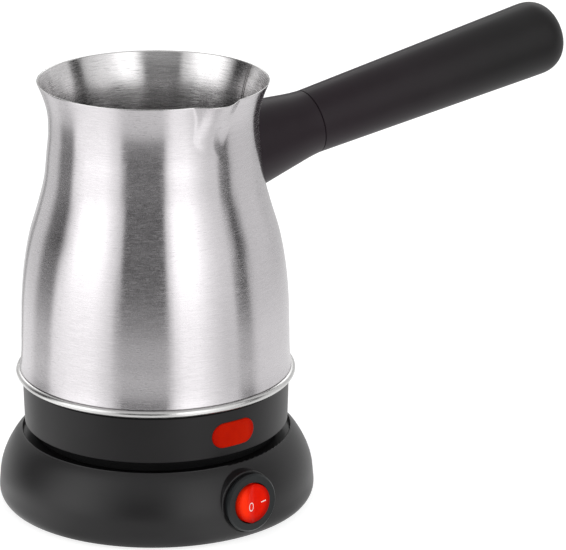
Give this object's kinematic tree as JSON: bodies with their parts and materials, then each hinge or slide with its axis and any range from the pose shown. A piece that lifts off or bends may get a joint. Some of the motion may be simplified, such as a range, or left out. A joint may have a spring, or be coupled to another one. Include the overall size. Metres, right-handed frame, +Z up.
{
  "type": "electric turkish coffee maker",
  "caption": "Waisted steel pot with side handle, spout and heated foot, lifting off a round powered base with a rocker switch.",
  "frame": {"origin": "on the table under the centre of the round base", "axes": "+Z up, +X along the handle, -Y the side of the spout, lamp and switch"},
  "size_m": [0.2646, 0.1358, 0.1846],
  "materials": {
    "brushed_steel": "satin, brushed round the pot",
    "black_housing": "fine matte moulding",
    "black_handle": "satin heat-proof plastic",
    "black_switch": "semi-gloss",
    "red_rocker": "clear red, semi-gloss",
    "red_lens": "clear red, satin",
    "rubber": "matte",
    "silicone": "matte",
    "zinc_steel": "plated",
    "brass": "plain",
    "wire_sleeve": "soft sleeve",
    "lamp_glass": "clear",
    "aluminium": "rolled",
    "element_sheath": "dull",
    "ceramic": "heat-proof, pale"
  },
  "bodies": {
    "base": {"base_housing": "black_housing", "base_cover": "black_housing", "rubber_feet": "rubber", "base_screws": "zinc_steel", "cord_gland": "rubber", "switch_housing": "black_switch", "switch_terminal_in": "brass", "switch_terminal_out": "brass", "base_wire_live": "wire_sleeve", "base_wire_neutral": "wire_sleeve", "base_wire_load": "wire_sleeve"},
    "connector": {"connector_hub": "black_housing", "hub_live_contact": "brass", "hub_neutral_contact": "brass", "hub_earth_contact": "brass"},
    "pot": {"pot_shell": "brushed_steel", "pot_floor": "brushed_steel", "pot_gasket": "silicone", "pot_ring": "black_housing", "indicator_lens": "red_lens", "neon_lamp": "lamp_glass", "pot_base_cover": "black_housing", "pot_studs": "zinc_steel", "pot_screws": "zinc_steel", "heat_plate": "aluminium", "heating_element": "element_sheath", "thermostat": "ceramic", "thermal_fuse": "element_sheath", "pot_socket": "ceramic", "socket_pin": "brass", "socket_ring_neutral": "brass", "socket_ring_earth": "brass", "pot_wire_fuse": "wire_sleeve", "lamp_wire": "wire_sleeve", "handle_neck": "black_handle", "handle_bracket": "brushed_steel", "handle_grip": "black_handle", "handle_rod": "zinc_steel", "handle_nut": "zinc_steel", "handle_cap": "black_handle"},
    "rocker": {"rocker": "red_rocker", "rocker_plunger": "ceramic", "rocker_spring": "zinc_steel"},
    "contact_lever": {"contact_lever": "brass"}
  },
  "joints": [
    {"name": "pot_turn", "type": "hinge", "parent": "base", "child": "connector", "pos_m": [0, 0, 0.0277], "axis": [0, 0, 1], "continuous": true},
    {"name": "pot_lift", "type": "slide", "parent": "connector", "child": "pot", "axis": [0, 0, 1], "range_m": [0, 0.05]},
    {"name": "rocker_tilt", "type": "hinge", "parent": "base", "child": "rocker", "pos_m": [0.00545, -0.06487, 0.016], "axis": [0.0058, -0.0695, -0.9976], "range_deg": [0, 24]},
    {"name": "lever_tilt", "type": "hinge", "parent": "base", "child": "contact_lever", "pos_m": [0.0047, -0.05593, 0.01537], "axis": [0.0058, -0.0695, -0.9976], "range_deg": [-16, 0]}
  ],
  "couplings": [
    {"joint": "lever_tilt", "follows": "rocker_tilt", "ratio": -0.66667}
  ]
}
